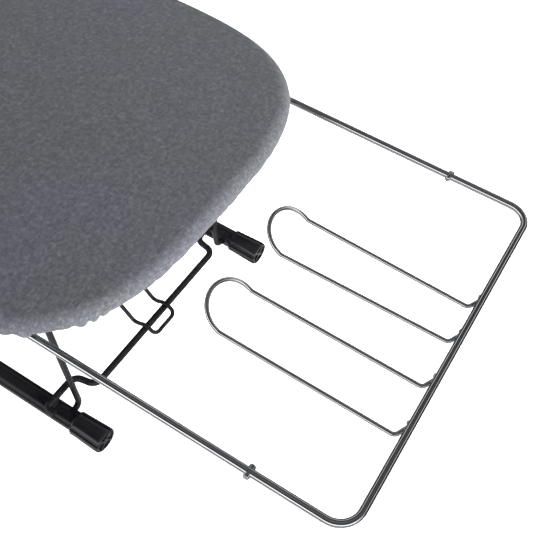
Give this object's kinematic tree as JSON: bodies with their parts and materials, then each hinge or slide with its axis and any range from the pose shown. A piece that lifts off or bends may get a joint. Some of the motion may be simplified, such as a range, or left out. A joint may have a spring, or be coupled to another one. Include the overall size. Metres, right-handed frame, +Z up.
{
  "type": "table-top ironing board",
  "caption": "Table-top ironing board: padded steel board on two folding wire supports over a tube base, with a locking hook and a slide-out wire iron rack.",
  "frame": {"origin": "centre of the whole object's box, at the flats under the foot caps", "axes": "+X along the board towards its tail, where the rack slides out; +Z up; +Y to the right seen from the nose"},
  "size_m": [0.9004, 0.325, 0.1995],
  "materials": {
    "cover_cotton": "mottled felt-like cotton",
    "felt": "needled felt",
    "elastic": "braided elastic",
    "board_steel": "light grey powder coat",
    "black_steel": "satin black",
    "chrome_wire": "bright plating",
    "black_plastic": "semi-gloss moulding",
    "zinc_steel": "zinc plated"
  },
  "bodies": {
    "base": {"base_tube_left": "black_steel", "base_tube_right": "black_steel", "foot_cap_nose_left": "black_plastic", "foot_cap_nose_right": "black_plastic", "foot_cap_tail_left": "black_plastic", "foot_cap_tail_right": "black_plastic", "nose_cross_rod": "black_steel", "tail_cross_rod": "black_steel"},
    "tail_support": {"tail_support": "black_steel"},
    "nose_support": {"nose_support": "black_steel"},
    "board": {"board_panel": "board_steel", "board_rim": "board_steel", "board_stiffener_left": "board_steel", "board_stiffener_right": "board_steel", "cover": "cover_cotton", "elastic_cord": "elastic", "felt_pad": "felt", "hook_bracket": "zinc_steel", "pivot_bracket_nose_left": "zinc_steel", "pivot_bracket_nose_right": "zinc_steel", "pivot_bracket_tail_left": "zinc_steel", "pivot_bracket_tail_right": "zinc_steel", "rack_guide_inner_left": "black_plastic", "rack_guide_inner_right": "black_plastic", "rack_guide_tail_left": "black_plastic", "rack_guide_tail_right": "black_plastic", "rivet_01": "zinc_steel", "rivet_02": "zinc_steel", "rivet_03": "zinc_steel", "rivet_04": "zinc_steel", "rivet_05": "zinc_steel", "rivet_06": "zinc_steel", "rivet_07": "zinc_steel", "rivet_08": "zinc_steel", "rivet_09": "zinc_steel", "rivet_10": "zinc_steel", "rivet_11": "zinc_steel", "rivet_12": "zinc_steel", "rivet_13": "zinc_steel", "rivet_14": "zinc_steel"},
    "hook": {"hook": "black_steel"},
    "rack": {"rack_finger_left": "chrome_wire", "rack_finger_right": "chrome_wire", "rack_frame": "chrome_wire"}
  },
  "joints": [
    {"name": "fold", "type": "hinge", "parent": "base", "child": "tail_support", "pos_m": [0.21475, 0, 0.01], "axis": [0, 1, 0], "range_deg": [0, 80]},
    {"name": "board_level", "type": "hinge", "parent": "tail_support", "child": "board", "pos_m": [0.18775, 0, 0.189], "axis": [0, 1, 0], "range_deg": [-80, 0]},
    {"name": "nose_fold", "type": "hinge", "parent": "base", "child": "nose_support", "pos_m": [-0.23525, 0, 0.01], "axis": [0, 1, 0], "range_deg": [0, 80]},
    {"name": "hook_lift", "type": "hinge", "parent": "board", "child": "hook", "pos_m": [0.04275, 0, 0.1885], "axis": [0, -1, 0], "range_deg": [0, 34]},
    {"name": "rack_slide", "type": "slide", "parent": "board", "child": "rack", "axis": [-1, 0, 0], "range_m": [0, 0.179]}
  ],
  "couplings": [
    {"joint": "board_level", "follows": "fold", "ratio": -1},
    {"joint": "nose_fold", "follows": "fold", "ratio": 1},
    {"joint": "hook_lift", "follows": "fold", "ratio": 0.425}
  ]
}
